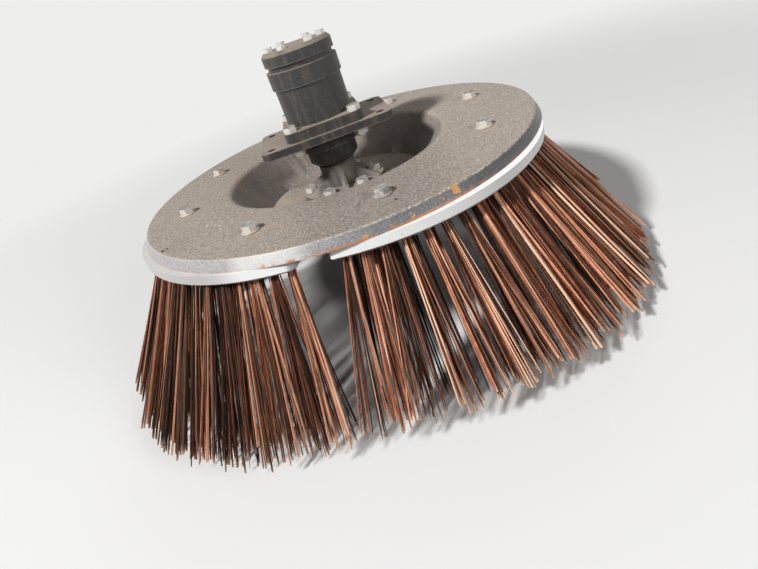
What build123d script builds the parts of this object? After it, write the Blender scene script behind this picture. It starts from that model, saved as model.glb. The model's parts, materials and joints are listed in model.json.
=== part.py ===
from build123d import *
import os
from math import atan2, cos, degrees, exp, radians, sin, sqrt, tan

os.makedirs("parts", exist_ok=True)

# Gutter broom of a street sweeper, in millimetres.
# The origin is the centre of the bolt pattern, on the mounting plate's top face.
# Z is the axis on which the broom turns, and the broom hangs below the plate.

# Clearances
seat_gap = 0.2
shaft_clearance = 0.08
bolt_clearance = 0.6
running_gap = 6
rim_gap = 1.5
pilot_gap = 0.4

# Fasteners, all of one size
bolt_diameter = 12
bolt_across_flats = 19
bolt_head_height = 9
bolt_stub = 3
nut_height = 10
washer_diameter = 26
washer_thickness = 2.5

# Mounting plate
plate_length = 216
plate_width = 136
plate_thickness = 12
plate_corner = 14
mount_spacing_x = 180
mount_spacing_y = 100
mount_hole_diameter = 13.5

# Hydraulic motor: flange on the plate's top face, nose through the plate
flange_side = 128
flange_thickness = 16
flange_corner = 18
pilot_diameter = 100
pilot_length = 30
nose_diameter = 84
nose_length = 58
nose_chamfer = 6
motor_bolt_spacing = 104
body_diameter = 108
body_height = 58
cover_dome = 5
# Sections stacked on the motor's body: diameter, height
stack_sections = (
    (114, 26),
    (104, 8),
    (112, 20),
)
cover_bolt_count = 6
cover_bolt_circle = 84
cover_bolt_across_flats = 13
cover_bolt_head = 6
port_block_width = 84
port_block_height = 42
port_block_reach = 74
port_block_lift = 10
port_block_corner = 6
port_spacing = 42
port_bore_diameter = 20.4
port_bore_depth = 17
port_face_diameter = 32
port_face_depth = 1.5

# Disc: flat ring outside, dish inside, rim turned down and out
disc_radius = 330
disc_drop = 52
disc_thickness = 8
rim_depth = 15
rim_flare = 8
rim_edge_round = 2.5
flat_width = 142
dish_depth = 60
dish_slope_width = 52
dish_bend = 14
spigot_diameter = 80

# Drive hub and shaft
hub_flange_diameter = 146
hub_flange_thickness = 12
hub_boss_diameter = 62
hub_bolt_circle = 116
hub_bolt_count = 6
hub_rib_thickness = 9
hub_rib_height = 22
shaft_diameter = 32
shaft_engagement = 40
shaft_taper_end_diameter = 27
shaft_thread_diameter = 20
shaft_nut_across_flats = 30
shaft_nut_height = 16
shaft_nut_stub = 4

# Segments: blocks under the disc, each held by two bolts.
# A block's arcs have their own centre, further out than the broom's axis,
# so that its middle stands proud of the rim and its ends draw back under it.
block_width = 105
block_shift = 60
block_edge_radius = 289
block_thickness = 23
block_half_angle = 49.4
block_rounded_end = 14
block_square_end = 4
block_lower_edge = 3
segment_bolt_inset = 69
segment_bolt_half_angle = 24.3
# Segment number, angle of its middle, sideways lean of its first bunch and of its last, in degrees
segments = (
    (1, -147, 0, 8),
    (2, -57, -8, 0),
    (3, 33, 0, 8),
    (4, 123, -8, 0),
)

# Wires: bunches that splay outward, worn shorter on one side of the broom
wire_length = 268
worn_share = 0.145
worn_middle = -98
worn_width = 40
splay = 36
bunch_pitch = 5.1
bunch_depth = 6
# Row: distance of its roots from the block's edge, bunches in a segment, degrees less splay
wire_rows = (
    (23, 16, 0),
    (47, 15, 7),
)
# Strands of a bunch: place at the tips as a share of the bunches' spacing there, share of the wire length
strands = (
    (-0.40, 0.94),
    (-0.13, 1.0),
    (0.16, 0.97),
    (0.40, 0.91),
)
strand_root_width = 4
strand_tip_width = 5
strand_embedment = 12

# Places worked out from the sizes above
disc_top = -disc_drop
disc_underside = disc_top - disc_thickness
dish_floor = disc_top - dish_depth
dish_underside = dish_floor - disc_thickness
dish_radius = disc_radius - flat_width
dish_floor_radius = dish_radius - dish_slope_width
dish_slope = degrees(atan2(dish_depth, dish_slope_width))
# The sheet's underside turns this much further out than its top
bend_shift = disc_thickness * tan(radians(dish_slope / 2))
rim_radius = disc_radius + rim_flare
rim_bottom = disc_top - rim_depth
block_inner_radius = block_edge_radius - block_width
block_reach = block_shift + block_edge_radius
block_top = disc_underside
block_bottom = block_top - block_thickness
segment_bolt_radius = disc_radius - segment_bolt_inset
nose_bottom = -nose_length
hub_top = nose_bottom - running_gap
hub_seat = dish_floor + hub_flange_thickness
bolt_hole = bolt_diameter + bolt_clearance


def save(builder, name):
    """Label a finished piece and write it as one STEP file."""
    builder.part.label = name
    export_step(builder.part, f"parts/{name}.step")


def ring_spots(radius, angles):
    """Points on a circle about the broom's axis."""
    return [(radius * cos(radians(a)), radius * sin(radians(a))) for a in angles]


def even_spots(radius, count):
    """Points evenly spaced on a circle, the first on the X axis."""
    return ring_spots(radius, [k * 360 / count for k in range(count)])


def corner_spots(spacing_x, spacing_y):
    """Corners of a rectangle about the broom's axis."""
    return [(x * spacing_x / 2, y * spacing_y / 2) for x in (-1, 1) for y in (-1, 1)]


def make_bolts(spots, seat, grip):
    """Hex bolts with heads on the face at height seat, long enough for the grip, a nut and a stub."""
    with BuildPart() as bolts:
        with BuildSketch(Plane.XY.offset(seat)):
            with Locations(*spots):
                RegularPolygon(bolt_across_flats / 2, 6, major_radius=False)
        extrude(amount=bolt_head_height)
        with BuildSketch(Plane.XY.offset(seat)):
            with Locations(*spots):
                Circle(bolt_diameter / 2)
        extrude(amount=-grip - nut_height - bolt_stub)
    return bolts


def make_nuts(spots, seat):
    """Hex nuts under the face at height seat."""
    with BuildPart() as nuts:
        with BuildSketch(Plane.XY.offset(seat)):
            with Locations(*spots):
                RegularPolygon(bolt_across_flats / 2, 6, major_radius=False)
                Circle(bolt_diameter / 2 + seat_gap, mode=Mode.SUBTRACT)
        extrude(amount=-nut_height)
    return nuts


def make_block(middle):
    """One segment block: a sector with a rebate for the disc's rim and one rounded end."""
    own_centre = (block_shift * cos(radians(middle)), block_shift * sin(radians(middle)))
    start_angle = middle - block_half_angle
    with BuildPart() as block:
        with BuildSketch(Plane.XY.offset(block_bottom)) as outline:
            with BuildLine():
                outer = CenterArc(own_centre, block_edge_radius, start_angle, 2 * block_half_angle)
                inner = CenterArc(own_centre, block_inner_radius, start_angle, 2 * block_half_angle)
                Line(outer @ 0, inner @ 0)
                Line(outer @ 1, inner @ 1)
            make_face()
            for corner, radius in ((outer @ 0, block_square_end), (outer @ 1, block_rounded_end)):
                fillet(outline.vertices().sort_by_distance(corner)[0], radius)
        extrude(amount=block_thickness)
        chamfer(block.faces().sort_by(Axis.Z)[0].edges(), block_lower_edge)
        with BuildSketch(Plane.XY.offset(block_top)):
            Circle(block_reach + block_width)
            Circle(disc_radius - disc_thickness - rim_gap, mode=Mode.SUBTRACT)
        extrude(amount=rim_bottom - seat_gap - block_top, mode=Mode.SUBTRACT)
        bolt_angles = (middle - segment_bolt_half_angle, middle + segment_bolt_half_angle)
        with BuildSketch(Plane.XY.offset(block_top)):
            with Locations(*ring_spots(segment_bolt_radius, bolt_angles)):
                Circle(bolt_hole / 2)
        extrude(amount=-block_thickness, mode=Mode.SUBTRACT)
    return block


def edge_distance(off_middle):
    """From the broom's axis to a block's outer edge, at an angle off the block's middle."""
    across = block_shift * sin(radians(off_middle))
    return block_shift * cos(radians(off_middle)) + sqrt(block_edge_radius ** 2 - across ** 2)


def worn_length(angle):
    """Length of the wires at an angle round the broom."""
    off_worn = (angle - worn_middle + 180) % 360 - 180
    return wire_length * (1 - worn_share * exp(-(off_worn / worn_width) ** 2))


def bunch_plane(angle, root_radius, bunch_splay):
    """Plane of a flat bunch: X around the broom, minus Y down along the wires."""
    outward = Vector(cos(radians(angle)), sin(radians(angle)), 0)
    around = Vector(-sin(radians(angle)), cos(radians(angle)), 0)
    face = outward * cos(radians(bunch_splay)) + Vector(0, 0, sin(radians(bunch_splay)))
    return Plane(outward * root_radius + Vector(0, 0, block_bottom), around, face)


def make_wires(middle, first_lean, last_lean):
    """The bunches of one segment, each a fan of strands cut off level with the block's underside."""
    with BuildPart() as wires:
        for row_inset, bunch_count, less_splay in wire_rows:
            for k in range(bunch_count):
                off_middle = (k - (bunch_count - 1) / 2) * bunch_pitch
                root_radius = edge_distance(off_middle) - row_inset
                length = worn_length(middle + off_middle)
                tip_radius = root_radius + length * sin(radians(splay - less_splay))
                tip_spacing = tip_radius * radians(bunch_pitch)
                way = k / (bunch_count - 1)
                lean = first_lean * (1 - way) ** 2 + last_lean * way ** 2
                side = 1 if k % 2 else -1
                middle_plane = bunch_plane(middle + off_middle, root_radius, splay - less_splay)
                with BuildSketch(middle_plane.offset(-bunch_depth / 2)):
                    for tip_share, length_share in strands:
                        turn = side * degrees(atan2(tip_share * tip_spacing, length))
                        with Locations(Rotation(0, 0, lean + turn)):
                            Polygon(
                                (-strand_root_width / 2, strand_embedment),
                                (strand_root_width / 2, strand_embedment),
                                (strand_tip_width / 2, -length * length_share),
                                (-strand_tip_width / 2, -length * length_share),
                                align=None,
                            )
        extrude(amount=bunch_depth)
        split(bisect_by=Plane.XY.offset(block_bottom), keep=Keep.BOTTOM)
    return wires


motor_spots = corner_spots(motor_bolt_spacing, motor_bolt_spacing)
hub_spots = even_spots(hub_bolt_circle / 2, hub_bolt_count)
segment_middles = [middle for number, middle, first_lean, last_lean in segments]
segment_spots = ring_spots(segment_bolt_radius, [
    middle + side * segment_bolt_half_angle for middle in segment_middles for side in (-1, 1)])

# Mounting plate
with BuildPart() as mounting_plate:
    with BuildSketch():
        RectangleRounded(plate_length, plate_width, plate_corner)
        Circle(pilot_diameter / 2 + pilot_gap, mode=Mode.SUBTRACT)
        with Locations(*corner_spots(mount_spacing_x, mount_spacing_y)):
            Circle(mount_hole_diameter / 2, mode=Mode.SUBTRACT)
        with Locations(*motor_spots):
            Circle(bolt_hole / 2, mode=Mode.SUBTRACT)
    extrude(amount=-plate_thickness)
save(mounting_plate, "mounting_plate")

# Motor housing: square flange, then round sections up and the pilot and nose down
with BuildPart() as motor_housing:
    with BuildSketch():
        RectangleRounded(flange_side, flange_side, flange_corner)
    extrude(amount=flange_thickness)
    section_base = flange_thickness
    for section_diameter, section_height in ((body_diameter, body_height),) + stack_sections:
        with BuildSketch(Plane.XY.offset(section_base)):
            Circle(section_diameter / 2)
        extrude(amount=section_height)
        section_base += section_height
    motor_top = section_base
    chamfer(motor_housing.faces().sort_by(Axis.Z)[-1].edges(), cover_dome)
    with BuildSketch():
        Circle(pilot_diameter / 2)
    extrude(amount=-pilot_length)
    with BuildSketch():
        Circle(nose_diameter / 2)
    extrude(amount=-nose_length)
    chamfer(motor_housing.faces().sort_by(Axis.Z)[0].edges(), nose_chamfer)
    with BuildSketch(Plane.XY.offset(nose_bottom)):
        Circle(shaft_diameter / 2 + shaft_clearance)
    extrude(amount=shaft_engagement + seat_gap, mode=Mode.SUBTRACT)
    with BuildSketch():
        with Locations(*motor_spots):
            Circle(bolt_hole / 2)
    extrude(amount=flange_thickness, mode=Mode.SUBTRACT)
save(motor_housing, "motor_housing")

# Port block on the side of the motor's body, with a spot face round each oil port
with BuildPart() as port_block:
    port_block_base = flange_thickness + port_block_lift
    with BuildSketch(Plane.XY.offset(port_block_base)):
        with Locations((0, port_block_reach / 2)):
            Rectangle(port_block_width, port_block_reach)
        Circle(body_diameter / 2 + seat_gap, mode=Mode.SUBTRACT)
    extrude(amount=port_block_height)
    outer_corners = port_block.edges().filter_by(Axis.Z).sort_by(Axis.Y)[-2:]
    chamfer(outer_corners, port_block_corner)
    port_face = Plane((0, port_block_reach, port_block_base + port_block_height / 2), (1, 0, 0), (0, 1, 0))
    port_places = ((-port_spacing / 2, 0), (port_spacing / 2, 0))
    with BuildSketch(port_face):
        with Locations(*port_places):
            Circle(port_face_diameter / 2)
    extrude(amount=-port_face_depth, mode=Mode.SUBTRACT)
    with BuildSketch(port_face):
        with Locations(*port_places):
            Circle(port_bore_diameter / 2)
    extrude(amount=-port_face_depth - port_bore_depth, mode=Mode.SUBTRACT)
save(port_block, "port_block")

motor_grip = flange_thickness + plate_thickness
motor_bolts = make_bolts(motor_spots, flange_thickness, motor_grip)
save(motor_bolts, "motor_bolts")
motor_nuts = make_nuts(motor_spots, -plate_thickness)
save(motor_nuts, "motor_nuts")

with BuildPart() as cover_bolts:
    with BuildSketch(Plane.XY.offset(motor_top)):
        with Locations(*even_spots(cover_bolt_circle / 2, cover_bolt_count)):
            RegularPolygon(cover_bolt_across_flats / 2, 6, major_radius=False)
    extrude(amount=cover_bolt_head)
save(cover_bolts, "cover_bolts")

# Drive shaft: journal in the motor, taper in the hub, thread below it
with BuildPart() as drive_shaft:
    with BuildSketch(Plane.XZ):
        with BuildLine():
            Polyline(
                (0, nose_bottom + shaft_engagement),
                (shaft_diameter / 2, nose_bottom + shaft_engagement),
                (shaft_diameter / 2, hub_top),
                (shaft_taper_end_diameter / 2, dish_underside),
                (shaft_thread_diameter / 2, dish_underside),
                (shaft_thread_diameter / 2, dish_underside - shaft_nut_height - shaft_nut_stub),
                (0, dish_underside - shaft_nut_height - shaft_nut_stub),
                close=True,
            )
        make_face()
    revolve(axis=Axis.Z)
save(drive_shaft, "drive_shaft")

with BuildPart() as shaft_nut:
    with BuildSketch(Plane.XY.offset(dish_underside)):
        RegularPolygon(shaft_nut_across_flats / 2, 6, major_radius=False)
        Circle(shaft_thread_diameter / 2 + seat_gap, mode=Mode.SUBTRACT)
    extrude(amount=-shaft_nut_height)
save(shaft_nut, "shaft_nut")

# Drive hub: boss on the shaft, flange on the dish floor, spigot through it, ribs between the bolts
with BuildPart() as drive_hub:
    with BuildSketch(Plane.XZ):
        with BuildLine():
            Polyline(
                (shaft_diameter / 2 + shaft_clearance, hub_top),
                (hub_boss_diameter / 2, hub_top),
                (hub_boss_diameter / 2, hub_seat),
                (hub_flange_diameter / 2, hub_seat),
                (hub_flange_diameter / 2, dish_floor),
                (spigot_diameter / 2, dish_floor),
                (spigot_diameter / 2, dish_underside),
                (shaft_taper_end_diameter / 2 + shaft_clearance, dish_underside),
                close=True,
            )
        make_face()
    revolve(axis=Axis.Z)
    rib_inner = (hub_boss_diameter + shaft_diameter) / 4
    rib_outer = hub_flange_diameter / 2 - seat_gap
    for k in range(hub_bolt_count):
        rib_angle = (k + 0.5) * 360 / hub_bolt_count
        with BuildSketch(Plane.XZ.rotated((0, 0, rib_angle))):
            Polygon(
                (rib_inner, hub_seat - hub_flange_thickness / 2),
                (rib_outer, hub_seat - hub_flange_thickness / 2),
                (rib_outer, hub_seat),
                (rib_inner, hub_seat + hub_rib_height),
                align=None,
            )
        extrude(amount=hub_rib_thickness / 2, both=True)
    with BuildSketch(Plane.XY.offset(dish_floor)):
        with Locations(*hub_spots):
            Circle(bolt_hole / 2)
    extrude(amount=hub_flange_thickness, mode=Mode.SUBTRACT)
save(drive_hub, "drive_hub")

hub_bolts = make_bolts(hub_spots, hub_seat, hub_flange_thickness + disc_thickness)
save(hub_bolts, "hub_bolts")
hub_nuts = make_nuts(hub_spots, dish_underside)
save(hub_nuts, "hub_nuts")

# Broom disc: one sheet, from the spigot hole out over the dish to the rim's lower edge
with BuildPart() as broom_disc:
    with BuildSketch(Plane.XZ) as disc_section:
        with BuildLine():
            Polyline(
                (spigot_diameter / 2 + pilot_gap, dish_floor),
                (dish_floor_radius, dish_floor),
                (dish_radius, disc_top),
                (disc_radius, disc_top),
                (rim_radius, rim_bottom),
                (rim_radius - disc_thickness, rim_bottom),
                (disc_radius - disc_thickness, disc_underside),
                (dish_radius + bend_shift, disc_underside),
                (dish_floor_radius + bend_shift, dish_underside),
                (spigot_diameter / 2 + pilot_gap, dish_underside),
                close=True,
            )
        make_face()
        # Bends: radius from the axis, height, bend radius, with the outer bend a sheet wider
        for bend_radius, bend_height, bend in (
            (dish_floor_radius, dish_floor, dish_bend),
            (dish_floor_radius + bend_shift, dish_underside, dish_bend + disc_thickness),
            (dish_radius, disc_top, dish_bend + disc_thickness),
            (dish_radius + bend_shift, disc_underside, dish_bend),
            (disc_radius, disc_top, rim_edge_round),
        ):
            fillet(disc_section.vertices().sort_by_distance((bend_radius, 0, bend_height))[0], bend)
    revolve(axis=Axis.Z)
    with BuildSketch(Plane.XY.offset(disc_top)):
        with Locations(*segment_spots):
            Circle(bolt_hole / 2)
    extrude(amount=-disc_thickness, mode=Mode.SUBTRACT)
    with BuildSketch(Plane.XY.offset(dish_floor)):
        with Locations(*hub_spots):
            Circle(bolt_hole / 2)
    extrude(amount=-disc_thickness, mode=Mode.SUBTRACT)
save(broom_disc, "broom_disc")

for number, middle, first_lean, last_lean in segments:
    save(make_block(middle), f"segment_block_{number}")
    save(make_wires(middle, first_lean, last_lean), f"segment_wires_{number}")

# Segment bolts, with a washer on the disc and a nut under the block
segment_grip = washer_thickness + disc_thickness + block_thickness
segment_bolts = make_bolts(segment_spots, disc_top + washer_thickness, segment_grip)
save(segment_bolts, "segment_bolts")
segment_nuts = make_nuts(segment_spots, block_bottom)
save(segment_nuts, "segment_nuts")
with BuildPart() as segment_washers:
    with BuildSketch(Plane.XY.offset(disc_top)):
        with Locations(*segment_spots):
            Circle(washer_diameter / 2)
            Circle(bolt_diameter / 2 + seat_gap, mode=Mode.SUBTRACT)
    extrude(amount=washer_thickness)
save(segment_washers, "segment_washers")
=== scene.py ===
"""Gutter broom of a street sweeper: wires, fasteners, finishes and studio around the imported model."""
import json
import random
from math import atan2, copysign, cos, degrees, exp, pi, radians, remainder, sin, sqrt, tan

import bmesh
import bpy
from bpy.props import FloatProperty, FloatVectorProperty, PointerProperty
from mathutils import Matrix, Vector


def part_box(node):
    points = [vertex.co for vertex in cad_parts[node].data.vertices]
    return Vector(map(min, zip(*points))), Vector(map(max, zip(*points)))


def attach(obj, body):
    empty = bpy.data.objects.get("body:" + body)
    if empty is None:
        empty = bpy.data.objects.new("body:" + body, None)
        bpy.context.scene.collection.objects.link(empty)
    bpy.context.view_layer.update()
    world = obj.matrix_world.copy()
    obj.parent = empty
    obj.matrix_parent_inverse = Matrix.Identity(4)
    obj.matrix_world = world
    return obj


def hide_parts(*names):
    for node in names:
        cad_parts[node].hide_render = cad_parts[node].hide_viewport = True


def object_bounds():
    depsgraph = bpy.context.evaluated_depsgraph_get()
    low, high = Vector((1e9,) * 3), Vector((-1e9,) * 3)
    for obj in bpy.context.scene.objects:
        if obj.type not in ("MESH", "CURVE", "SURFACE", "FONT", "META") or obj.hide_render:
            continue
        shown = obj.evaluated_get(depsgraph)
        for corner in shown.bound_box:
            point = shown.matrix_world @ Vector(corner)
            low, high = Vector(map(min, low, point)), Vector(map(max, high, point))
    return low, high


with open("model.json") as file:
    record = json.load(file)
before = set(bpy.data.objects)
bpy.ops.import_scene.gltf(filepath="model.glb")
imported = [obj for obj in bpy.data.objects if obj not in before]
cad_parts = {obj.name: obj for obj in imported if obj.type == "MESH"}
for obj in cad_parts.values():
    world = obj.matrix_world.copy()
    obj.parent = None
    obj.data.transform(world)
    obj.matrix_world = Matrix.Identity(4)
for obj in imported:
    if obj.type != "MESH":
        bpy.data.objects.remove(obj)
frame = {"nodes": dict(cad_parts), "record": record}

bl_info = {
    "name": "Gutter broom",
    "version": (1, 0, 0),
    "blender": (4, 5, 0),
    "location": "3D View > Sidebar > Gutter broom",
    "description": "Wires, fasteners, finishes and studio of a street sweeper's gutter broom",
    "category": "Object",
}

CAD_LOW, CAD_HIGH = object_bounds()

# Heights and radii read from the frame, in metres
DISC_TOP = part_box("broom_disc")[1].z
RIM_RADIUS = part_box("broom_disc")[1].x
BLOCK_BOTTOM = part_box("segment_block_1")[0].z
# The rim flares out by this much on its way down from the disc's flat ring
RIM_FLARE = 0.008
RIM_DEPTH = 0.015
DISC_RADIUS = RIM_RADIUS - RIM_FLARE
RIM_BOTTOM = DISC_TOP - RIM_DEPTH


def round_axis(radius, angle, height):
    """A point at an angle round the broom's axis."""
    return Vector((radius * cos(angle), radius * sin(angle), height))


# Marks in the dust on the disc's top: place in plan, reach, 1 for a pale fleck or 0 for a dark mark; the
# first two dark marks are a nick's painted shadow, the others are pits and a scratch
DUST_MARKS = (
    (-0.2755, -0.1720, 0.0042, 0), (-0.2695, -0.1690, 0.0034, 0), (0.0509, -0.2883, 0.0032, 0),
    (0.0000, -0.2680, 0.0018, 0), (0.0040, -0.2640, 0.0020, 0), (0.0080, -0.2600, 0.0022, 0),
    (0.1061, -0.2476, 0.0024, 0), (-0.2136, -0.1333, 0.0030, 1), (-0.1929, -0.1524, 0.0024, 1),
    (0.1678, -0.2593, 0.0024, 1),
)
# The bolt that dust has caked over, and how far the dust reaches
BOLT_CIRCLE = 0.261
CAKED_BOLT = round_axis(BOLT_CIRCLE, radians(-81.3), DISC_TOP)
CAKED_REACH = 0.019
# Where the paint has chipped off the rim: angle in degrees, depth below the disc's top, size
RIM_CHIPS = (
    (-68.5, 0.003, 0.0075), (-72.5, 0.004, 0.0055), (-80.0, 0.006, 0.0060), (-84.5, 0.010, 0.0050),
    (-90.0, 0.012, 0.0045), (-62.0, 0.002, 0.0025), (-33.0, 0.001, 0.0040), (-38.0, 0.002, 0.0030),
    (-112.0, 0.012, 0.0040), (40.0, 0.008, 0.0060), (95.0, 0.005, 0.0050), (160.0, 0.009, 0.0050),
)


def srgb(red, green, blue):
    """A colour of 0 to 255 on screen, as a shader's linear values."""
    def linear(value):
        value /= 255
        return value / 12.92 if value <= 0.04045 else ((value + 0.055) / 1.055) ** 2.4
    return (linear(red), linear(green), linear(blue), 1.0)


class NodeSheet:
    """Adds and links the nodes of one material, or of the world."""

    def __init__(self, name, kind="materials", shader="Principled BSDF"):
        self.owner = getattr(bpy.data, kind).new(name)
        self.owner.use_nodes = True
        self.nodes = self.owner.node_tree.nodes
        self.links = self.owner.node_tree.links
        self.shader = self.nodes[shader]

    def add(self, kind, inputs=None, **settings):
        node = self.nodes.new(kind)
        for key, value in settings.items():
            setattr(node, key, value)
        for key, value in (inputs or {}).items():
            self.feed(node, key, value)
        return node

    def feed(self, node, key, value):
        """Links a socket, or sets a plain value."""
        if isinstance(value, bpy.types.NodeSocket):
            self.links.new(value, node.inputs[key])
        else:
            node.inputs[key].default_value = value

    def shade(self, **inputs):
        """Feeds the shader's sockets, named with underscores."""
        for key, value in inputs.items():
            self.feed(self.shader, key.replace("_", " "), value)

    def spread(self, share, other, output):
        """Ends in the sheet's own shader, or in the other one by a share."""
        node = self.add("ShaderNodeMixShader", {
            0: share, 1: self.shader.outputs[0], 2: other.outputs[0]})
        self.feed(self.nodes[output], "Surface", node.outputs[0])

    def seen(self):
        """1 for what the camera, a reflection or glass sees, 0 for light on its way elsewhere."""
        rays = self.add("ShaderNodeLightPath").outputs
        return self.either(rays["Is Camera Ray"], rays["Is Glossy Ray"], rays["Is Transmission Ray"])

    def noise(self, vector, scale, detail=5.0, roughness=0.6):
        return self.add("ShaderNodeTexNoise", {
            "Vector": vector, "Scale": scale, "Detail": detail, "Roughness": roughness,
        }).outputs["Fac"]

    def steps(self, value, low, high):
        """Runs from 0 at low to 1 at high, smoothly."""
        return self.add("ShaderNodeMapRange", {
            "Value": value, "From Min": low, "From Max": high,
        }, interpolation_type="SMOOTHSTEP").outputs["Result"]

    def math(self, operation, first, second=0.0):
        return self.add("ShaderNodeMath", {0: first, 1: second}, operation=operation).outputs[0]

    def vectors(self, operation, first, second):
        return self.add("ShaderNodeVectorMath", {0: first, 1: second}, operation=operation).outputs

    def chain(self, operation, values):
        result = values[0]
        for value in values[1:]:
            result = self.math(operation, result, value)
        return result

    def both(self, *values):
        """The product of several shares."""
        return self.chain("MULTIPLY", values)

    def either(self, *values):
        """The largest of several shares."""
        return self.chain("MAXIMUM", values)

    def total(self, *values):
        return self.chain("ADD", values)

    def rest(self, share):
        """What a share leaves of 1."""
        return self.math("SUBTRACT", 1.0, share)

    def away(self, value, middle):
        """How far a value is from a middle, on either side."""
        return self.math("ABSOLUTE", self.math("SUBTRACT", value, middle))

    def sway(self, noise, amount):
        """Noise centred on nothing, for pushing another value up and down."""
        return self.both(self.math("SUBTRACT", noise, 0.5), amount)

    def mix(self, share, first, second):
        """From one colour to another by a share."""
        return self.add("ShaderNodeMix", {0: share, 6: first, 7: second}, data_type="RGBA").outputs[2]

    def blend(self, share, first, second):
        """From one number to another by a share."""
        return self.add("ShaderNodeMix", {0: share, 2: first, 3: second}, data_type="FLOAT").outputs[0]

    def ramp(self, value, stops):
        """A colour ramp with (position, colour) stops."""
        node = self.add("ShaderNodeValToRGB", {"Fac": value})
        elements = node.color_ramp.elements
        while len(elements) < len(stops):
            elements.new(0.5)
        for element, (position, colour) in zip(elements, stops):
            element.position = position
            element.color = colour
        return node.outputs["Color"]

    def bump(self, height, strength, distance, under=None):
        inputs = {"Height": height, "Strength": strength, "Distance": distance}
        if under is not None:
            inputs["Normal"] = under
        return self.add("ShaderNodeBump", inputs).outputs["Normal"]

    def place(self):
        return self.add("ShaderNodeTexCoord").outputs["Object"]

    def axes(self, vector):
        parts = self.add("ShaderNodeSeparateXYZ", {"Vector": vector}).outputs
        return parts["X"], parts["Y"], parts["Z"]

    def facing(self):
        """How far the surface faces up: 1 level, 0 upright, -1 underneath."""
        return self.axes(self.add("ShaderNodeNewGeometry").outputs["Normal"])[2]

    def radius(self, place):
        """Distance from the broom's axis."""
        across, along = self.axes(place)[:2]
        return self.math("SQRT", self.total(self.both(across, across), self.both(along, along)))

    def edges(self, width):
        """1 where the surface turns a corner within the width, 0 where it runs on flat."""
        rounded = self.add("ShaderNodeBevel", {"Radius": width}, samples=6).outputs["Normal"]
        normal = self.add("ShaderNodeNewGeometry").outputs["Normal"]
        return self.steps(self.vectors("DOT_PRODUCT", rounded, normal)["Value"], 0.995, 0.93)

    def stretched(self, vector, across, down):
        """The place, with its height scaled apart from its plan, for marks that run down a wall."""
        return self.vectors("MULTIPLY", vector, (across, across, down))["Vector"]

    def distance(self, place, spot):
        return self.vectors("DISTANCE", place, spot)["Value"]

    def specks(self, vector, scale, share, size):
        """Scattered dots: the share of cells that hold one, and its size within the cell."""
        cells = self.add("ShaderNodeTexVoronoi", {"Vector": vector, "Scale": scale})
        pick = self.axes(cells.outputs["Color"])[0]
        chosen = self.math("LESS_THAN", pick, share)
        near = self.rest(self.steps(cells.outputs["Distance"], size * 0.6, size))
        return self.both(chosen, near)


def wire_material():
    sheet = NodeSheet("rusty_spring_wire")
    place = sheet.place()
    tone = sheet.add("ShaderNodeAttribute", attribute_name="wire_tone").outputs["Fac"]
    along = sheet.add("ShaderNodeAttribute", attribute_name="wire_along").outputs["Fac"]
    # Each wire has a tone of its own, so noise over tone and length runs along one wire at a time
    along_wire = sheet.add("ShaderNodeCombineXYZ", {
        "X": sheet.both(tone, 260.0), "Y": sheet.both(along, 9.0),
    }).outputs["Vector"]
    streak = sheet.noise(along_wire, 1.0, roughness=0.7)
    mottle = sheet.noise(place, 130.0)
    grain = sheet.noise(place, 1400.0, detail=3.0)
    shift = sheet.total(sheet.sway(streak, 0.5), sheet.sway(mottle, 0.35))
    colour = sheet.ramp(sheet.total(tone, shift), (
        (0.0, srgb(38, 22, 15)),
        (0.2, srgb(88, 53, 38)),
        (0.42, srgb(160, 96, 67)),
        (0.56, srgb(212, 140, 106)),
        (0.76, srgb(244, 180, 144)),
        (1.0, srgb(246, 206, 176)),
    ))
    by_wire = sheet.add("ShaderNodeCombineXYZ", {"X": sheet.both(tone, 97.0)}).outputs["Vector"]
    muddy = sheet.steps(sheet.noise(by_wire, 1.0, detail=1.0), 0.5, 0.6)
    colour = sheet.mix(sheet.both(muddy, 0.42), colour, srgb(140, 108, 86))
    # Tips are worn bright, and the roots are darkened under the block as a painted shade
    worn = sheet.both(sheet.steps(along, 0.955, 1.0), 0.6)
    colour = sheet.mix(worn, colour, srgb(226, 190, 158))
    darkening = sheet.both(sheet.rest(sheet.steps(along, 0.0, 0.06)), 0.45)
    colour = sheet.mix(darkening, colour, srgb(84, 62, 50))
    sheet.shade(Base_Color=colour, Roughness=sheet.blend(mottle, 0.42, 0.68), Metallic=0.06,
                Specular_IOR_Level=0.22, Normal=sheet.bump(grain, 0.3, 0.0003))
    return sheet.owner


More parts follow.
